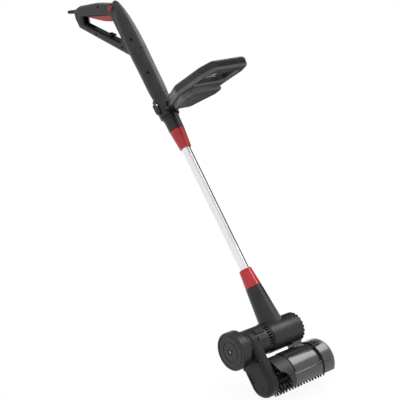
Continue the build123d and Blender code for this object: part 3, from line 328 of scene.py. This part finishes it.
def upright(x, y, z):
    """Millimetres from the motor's axis with the pole upright, to a place on the tool leaned back."""
    return motor_axis + Vector((x, y * cos(lean) + z * sin(lean), z * cos(lean) - y * sin(lean))) / 1000


coil_end = 30.6
coil_half = 52.5
coil_pitch = 3.2
coil_layers = [(radius, turn * coil_pitch) for radius in (25.2, 27.0, 28.8) for turn in range(3)]
coil_steps = 14
coil_taper = 0.06
wire = 0.00085
wire_sides = 6
loops = []
for middle in (0, 180):
    for radius, inset in coil_layers:
        half = radians(coil_half - inset)
        run = coil_end - coil_taper * inset * radius
        around = [-half + 2 * half * step / coil_steps for step in range(coil_steps + 1)]
        corners = [(run, angle) for angle in around] + [(-run, angle) for angle in reversed(around)]
        corners += corners[:2]
        line = []
        for x, angle in corners:
            turned = angle + radians(middle)
            line.append((upright(x, radius * sin(turned), radius * cos(turned)), wire))
        loops.append(line)
field_wires = strand_mesh("field_coil_wires", loops, wire_sides)
field_wires.data.materials.append(copper_wire_painted_shade)
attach(field_wires, "head")
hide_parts("field_coils")

winding_slots = 12
winding_span = 5
winding_layers = 3
winding_steps = 12
winding_start = 22.6
winding_reach = 5.8
winding_radius = 16.0
winding_drop = 1.9
winding_sag = 4.2
loops = []
for end in (1, -1):
    for slot in range(winding_slots):
        for layer in range(winding_layers):
            line = []
            for step in range(winding_steps + 1):
                share = step / winding_steps
                angle = 2 * pi * (slot + winding_span * share) / winding_slots
                rise = sin(pi * share)
                radius = winding_radius - layer * winding_drop - winding_sag * rise
                bulge = (0.12 + 0.26 * layer) * (0.35 + 0.65 * rise)
                x = end * (winding_start + winding_reach * bulge)
                line.append((upright(x, radius * sin(angle), radius * cos(angle)), wire))
            loops.append(line)
armature_wires = strand_mesh("armature_wires", loops, wire_sides)
armature_wires.data.materials.append(copper_wire_painted_shade)
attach(armature_wires, "rotor")
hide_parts("armature_windings")


# Motor housing. Two moulded halves close round the motor and the foot of the pole, with vents in a row
# round the barrel, and a notched cap closes the free end.
dress(black_grain, "housing_front", "housing_rear", "motor_end_cap")
dress(black_steel, "housing_screws")


# Hood. One polished moulding over the roller, screwed to the underside of the barrel; its raised middle
# panel and rounded end carry the brightest reflections of the tool. A fine bead lies in the crease along
# its front, with a painted highlight: light at its left end and darkening towards the dome.
polish_start = -0.0395
hood_gloss, shade = new_finish("hood_gloss")
place = shade.stretched((1, 1, 1))
cloud = shade.noise(place, 30, 3)
smear = shade.noise(place, 9, 2)
along = shade.node("ShaderNodeSeparateXYZ", {}, {0: place})
polished = (along * 100.0 + (0.5 - polish_start * 100.0)).ramp(0.45, 0.55)
close_finish(shade, {
    "Base Color": cloud.ramp(0.34, 0.66).between((0.010, 0.0103, 0.0118), (0.016, 0.0164, 0.0185)),
    "Roughness": smear * 0.08 - polished * 0.27 + 0.46,
    "Coat Weight": polished * 0.8,
    "Coat Roughness": 0.14,
    "Specular IOR Level": 0.5,
})
dress(hood_gloss, "hood")
bead_rise = 0.0196
bead_radius = 0.0012
bead_sink = 0.0001
bead_sides = 10
hood_skin = 0.0475
dome_skin = 0.0505
dome_start = 0.052
dome_turn = 0.082
dome_round = 0.013
round_steps = 6
round_turn = pi / 15


def bead_place(x, skin, thick):
    """Middle of the bead at x, sunk a little into a hood surface of that radius round the axle."""
    return axle + Vector((x, -sqrt((skin - bead_sink) ** 2 - bead_rise ** 2), bead_rise)), thick


panel_bead = [bead_place(x, hood_skin, bead_radius) for x in (polish_start, 0.0, dome_start)]
dome_bead = [bead_place(x, dome_skin, bead_radius) for x in (dome_start, dome_turn)]
for step in range(1, round_steps):
    turn = step * round_turn
    skin = dome_skin - dome_round * (1 - cos(turn))
    thick = bead_radius * (1 - step / round_steps)
    dome_bead.append(bead_place(dome_turn + dome_round * sin(turn), skin, thick))
hood_bead = strand_mesh("hood_bead", [panel_bead, dome_bead], bead_sides)
bead_painted_highlight, shade = new_finish("bead_painted_highlight")
place = shade.stretched((1, 1, 1))
scuffs_and_highlight_edge = shade.noise(place, 260, 3)
along = shade.node("ShaderNodeSeparateXYZ", {}, {0: place})
# Painted highlight: the bead's colour goes from light grey at its left end to the hood's black towards the
# dome.
painted_highlight_fade = (along * 10.0 + scuffs_and_highlight_edge * 0.1 + 0.45).ramp(0.5, 1.0)
close_finish(shade, {
    "Base Color": painted_highlight_fade.between((0.29, 0.29, 0.297), (0.022, 0.0223, 0.024)),
    "Roughness": scuffs_and_highlight_edge * 0.1 + 0.22,
    "Specular IOR Level": 0.6,
})
hood_bead.data.materials.append(bead_painted_highlight)
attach(hood_bead, "head")
dress(zinc_steel, "hood_screws")


# Telescopic tube. Bright drawn aluminium slides in the handle and is clamped by a red conical sleeve at
# each end; the mains lead runs through it to a terminal block in the neck.
drawn_marks = (420, 420, 6)
drawn_aluminium = metal(
    "drawn_aluminium", (0.84, 0.845, 0.855), (0.75, 0.755, 0.77), 0.16, drawn_marks, (-lean, 0, 0))
dress(drawn_aluminium, "aluminium_tube")
red_satin = moulded(
    "red_satin", (0.40, 0.008, 0.012), (0.50, 0.012, 0.017), 0.24, 0.006,
    {"Specular IOR Level": 0.5, "Coat Weight": 0.2, "Coat Roughness": 0.14})
dress(red_satin, "lower_sleeve", "upper_sleeve")
inner_plastic = moulded("inner_plastic", (0.08, 0.08, 0.085), (0.13, 0.13, 0.135), 0.5, 0.2, {})
dress(inner_plastic, "tube_end_plug", "terminal_block")
dress(belt_rubber, "inner_lead")


# Handle. Two moulded shells with a round body and a D grip, closed by deep-set screws; the brace under the
# grip and its cord hook have a dull finish on their inner face, painted darker there as painted shade. A
# bush guides the tube, and a ringed gland guards the lead.
brace_along = (0, 0.98258, 0.18584)
brace_up = (0, -0.18584, 0.98258)
brace_face = 0.60053
brace_start, brace_end = 0.7388, 0.9060
handle_grain, shade = new_finish("handle_grain")
place = shade.stretched((1, 1, 1))
cloud = shade.noise(place, cloud_scale, 4)
shell = shade.node(
    "ShaderNodeBsdfPrincipled", {},
    {**mould_grain(shade, *black_tones, black_gloss, black_pits), **black_shine})
# Painted shade: the brace's inner face gets a dull plastic about three times darker than the shell's.
painted_shade_matt = shade.node("ShaderNodeBsdfPrincipled", {}, {
    "Base Color": cloud.ramp(0.34, 0.66).between((0.003, 0.003, 0.0035), (0.006, 0.006, 0.0068)),
    "Roughness": 0.75,
    "Specular IOR Level": 0.12,
})
projected = {"operation": "DOT_PRODUCT"}
along = shade.node("ShaderNodeVectorMath", projected, {0: place, 1: brace_along}, 1)
rise = shade.node("ShaderNodeVectorMath", projected, {0: place, 1: brace_up}, 1) - brace_face
painted_shade_mask = ((along - brace_start) * 50).ramp(0.0, 0.1) * ((brace_end - along) * 50).ramp(0.0, 0.1)
painted_shade_mask = painted_shade_mask * (rise * 100 + 0.5).ramp(0.18, 0.26) * (1.0 - (rise * 20).ramp(0.26, 0.30))
skin = shade.node("ShaderNodeMixShader", {}, {0: painted_shade_mask, 1: shell, 2: painted_shade_matt})
shade.node("ShaderNodeOutputMaterial", {}, {"Surface": skin})
dress(handle_grain, "handle_left", "handle_right")
dress(black_steel, "handle_screws")
dress(inner_plastic, "tube_guide_bush")
dress(belt_rubber, "cable_gland")


# Trigger and switch gear. A long red lever works the mains switch and a red button on the left side keeps
# it from being pulled by chance; both come back by coil springs, and the lead's slack lies coiled below.
dress(red_satin, "trigger")
dress(moulded("button_red", (0.20, 0.004, 0.008), (0.27, 0.007, 0.011), 0.3, 0.03, {}), "lock_button")
dress(zinc_steel, "trigger_pin")
dress(inner_plastic, "mains_switch")
dress(moulded("film_case", (0.30, 0.27, 0.12), (0.36, 0.33, 0.17), 0.35, 0.1, {}), "capacitor")


steps_per_turn = 16
helix_sides = 8


def helix(name, foot, top, radius, wire, turns):
    """Round wire wound from foot to top."""
    line = []
    way = top - foot
    ahead = way.normalized()
    side = ahead.orthogonal().normalized()
    other = ahead.cross(side)
    steps = turns * steps_per_turn
    for step in range(steps + 1):
        angle = 2 * pi * step / steps_per_turn
        ring = (side * cos(angle) + other * sin(angle)) * (radius - wire)
        line.append((foot + ahead * (wire + (way.length - 2 * wire) * step / steps) + ring, wire))
    return strand_mesh(name, [line], helix_sides)


grip_up = Vector((0, 0.13917, 0.99027))
spring_radius = 0.003
spring_wire = 0.0004
low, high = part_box("trigger_spring")
reach = grip_up * ((high.z - low.z - 2 * spring_radius * grip_up.y) / grip_up.z / 2)
spring_middle = (low + high) / 2
trigger_coil = helix(
    "trigger_coil", spring_middle - reach, spring_middle + reach, spring_radius, spring_wire, turns=6)
trigger_coil.data.materials.append(zinc_steel)
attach(trigger_coil, "handle")
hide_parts("trigger_spring")
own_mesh(trigger_coil)
low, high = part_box("button_spring")
button_middle = (low + high) / 2
button_coil = helix(
    "button_coil", Vector((low.x, button_middle.y, button_middle.z)),
    Vector((high.x, button_middle.y, button_middle.z)), spring_radius, spring_wire, turns=5)
button_coil.data.materials.append(zinc_steel)
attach(button_coil, "handle")
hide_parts("button_spring")
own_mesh(button_coil)
slack_foot = upright(0, 0, 640)
slack_top = upright(0, 0, 800)
slack_radius = 0.0079
lead_radius = 0.0022
slack = helix("lead_slack", slack_foot, slack_top, slack_radius, lead_radius, turns=12)
slack.data.materials.append(belt_rubber)
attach(slack, "handle")
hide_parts("lead_coil")
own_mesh(slack)


# Loop handle. Two moulded halves form a cross grip for the front hand; it tilts on a toothed hinge in a
# clamp that two moulded half rings hold round the handle's foot.
dress(black_grain, "clamp_front", "clamp_rear")
loop_sheen = moulded("loop_sheen", *black_tones, 0.28, 0.03, {"Specular IOR Level": 0.32})
dress(loop_sheen, "loop_upper")
# Painted light: the lower half is the same black plastic as the upper half, given a tone about three times
# lighter for the light reflected onto its belly.
loop_under_painted_light = moulded(
    "loop_under_painted_light", (0.040, 0.0405, 0.043), (0.048, 0.0487, 0.052), 0.4, 0.05,
    {"Specular IOR Level": 0.8})
dress(loop_under_painted_light, "loop_lower")
dress(dull_steel, "clamp_screws")
dress(zinc_steel, "loop_screws")
dress(black_steel, "loop_pin")


# Floor and light. The tool stands on a white floor before a white ground, under two soft lamps. Six cards
# that only reflections show draw the highlights on the moulded pieces: three large ones stand far off, and
# three small ones near the pole give the bright tube its edge and keep the loop dark.
ray_kinds = ("Camera", "Glossy", "Transmission")


def shown(shade):
    """1 for the rays that show the white ground: to the camera, and by way of gloss or glass."""
    rays = [shade.node("ShaderNodeLightPath", {}, {}, f"Is {kind} Ray") for kind in ray_kinds]
    return rays[0] + rays[1] + rays[2]


floor_mesh = bpy.data.meshes.new("floor")
floor_half = 6.0
floor_drop = 0.0005
floor_mesh.from_pydata(
    [(-floor_half, -floor_half, 0), (floor_half, -floor_half, 0), (floor_half, floor_half, 0),
     (-floor_half, floor_half, 0)], [], [(0, 1, 2, 3)])
floor = bpy.data.objects.new("floor", floor_mesh)
floor.location.z = -floor_drop
bpy.context.scene.collection.objects.link(floor)
floor_white, shade = new_finish("floor_white")
lit = shade.node("ShaderNodeBsdfDiffuse", {}, {"Color": (0.86, 0.86, 0.86, 1)})
glow = shade.node("ShaderNodeEmission", {}, {"Color": (1, 1, 1, 1), "Strength": 1.0})
place = shade.node("ShaderNodeTexCoord", {}, {}, "Object")
away = shade.node("ShaderNodeVectorMath", {"operation": "LENGTH"}, {0: place}, 1)
share = shown(shade) * (away.ramp(0.35, 0.9) * 0.07 + 0.93)
white = shade.node("ShaderNodeMixShader", {}, {0: share, 1: lit, 2: glow})
shade.node("ShaderNodeOutputMaterial", {}, {"Surface": white})
floor_mesh.materials.append(floor_white)

world = bpy.data.worlds.new("studio")
bpy.context.scene.world = world
world.use_nodes = True
world.node_tree.nodes.clear()
shade = Shade(world.node_tree)
dim = shade.node("ShaderNodeBackground", {}, {"Color": (1, 1, 1, 1), "Strength": 0.5})
bright = shade.node("ShaderNodeBackground", {}, {"Color": (1, 1, 1, 1), "Strength": 1.0})
ground = shade.node("ShaderNodeMixShader", {}, {0: shown(shade), 1: dim, 2: bright})
shade.node("ShaderNodeOutputWorld", {}, {"Surface": ground})


def soft_lamp(name, place, aim, size, power):
    data = bpy.data.lights.new(name, "AREA")
    data.shape = "RECTANGLE"
    data.size, data.size_y = size
    data.energy = power
    lamp = bpy.data.objects.new(name, data)
    lamp.location = place
    lamp.rotation_euler = (Vector(aim) - Vector(place)).to_track_quat("-Z", "Y").to_euler()
    lamp.visible_glossy = False
    bpy.context.scene.collection.objects.link(lamp)


def reflected_card(name, corners, glow):
    mesh = bpy.data.meshes.new(name)
    mesh.from_pydata(corners, [], [(0, 1, 2, 3)])
    finish, shade = new_finish(name)
    light = shade.node("ShaderNodeEmission", {}, {"Color": (1, 1, 1, 1), "Strength": glow})
    shade.node("ShaderNodeOutputMaterial", {}, {"Surface": light})
    mesh.materials.append(finish)
    card = bpy.data.objects.new(name, mesh)
    bpy.context.scene.collection.objects.link(card)
    card.visible_camera = False
    card.visible_diffuse = False
    card.visible_transmission = False
    card.visible_shadow = False


soft_lamp("lamp_right", (2.0, 0.75, 1.55), (0, 0.4, 0.45), (1.0, 1.9), 60)
soft_lamp("lamp_top", (-0.4, -0.3, 2.6), (0, 0.35, 0.4), (1.6, 1.6), 32)
pole_side = 0.25
loop_side = 0.13
reflected_card("dark_card", [
    (pole_side, -0.01, 0.325), (pole_side, 0.36, 0.02), (pole_side, 0.72, 0.45),
    (pole_side, 0.35, 0.755)], 0.05)
reflected_card("pale_card", [
    (pole_side, 0.075, 0.425), (pole_side, 0.35, 0.755), (pole_side, 0.165, 0.935),
    (pole_side, -0.055, 0.675)], 1.0)
reflected_card("loop_card", [
    (loop_side, 0.09, 0.72), (loop_side, 0.24, 0.72), (loop_side, 0.24, 1.02), (loop_side, 0.0, 1.02)], 0.15)
reflected_card("side_card", [
    (2.1, -0.25, 0.9), (2.1, 2.0, 0.9), (2.1, 2.0, 2.0), (2.1, -0.25, 2.0)], 1.9)
reflected_card("key_card", [
    (1.84, -1.28, 1.94), (2.40, 0.64, 1.94), (1.69, 0.85, 2.71), (1.12, -1.07, 2.71)], 5.0)
reflected_card("grey_card", [
    (-0.9, -1.7, 2.4), (0.9, -1.7, 2.4), (0.9, -0.5, 2.4), (-0.9, -0.5, 2.4)], 0.74)

camera_data = bpy.data.cameras.new("camera")
camera_data.lens = 94.0
camera_data.sensor_width = 36.0
camera = bpy.data.objects.new("camera", camera_data)
camera.location = (-1.6124, -1.4991, 1.16005)
look_down = 17.83
look_right = 41.41
camera.rotation_euler = (radians(90 - look_down), 0, radians(-look_right))
bpy.context.scene.collection.objects.link(camera)
bpy.context.scene.camera = camera
bpy.context.scene.view_settings.view_transform = "Standard"
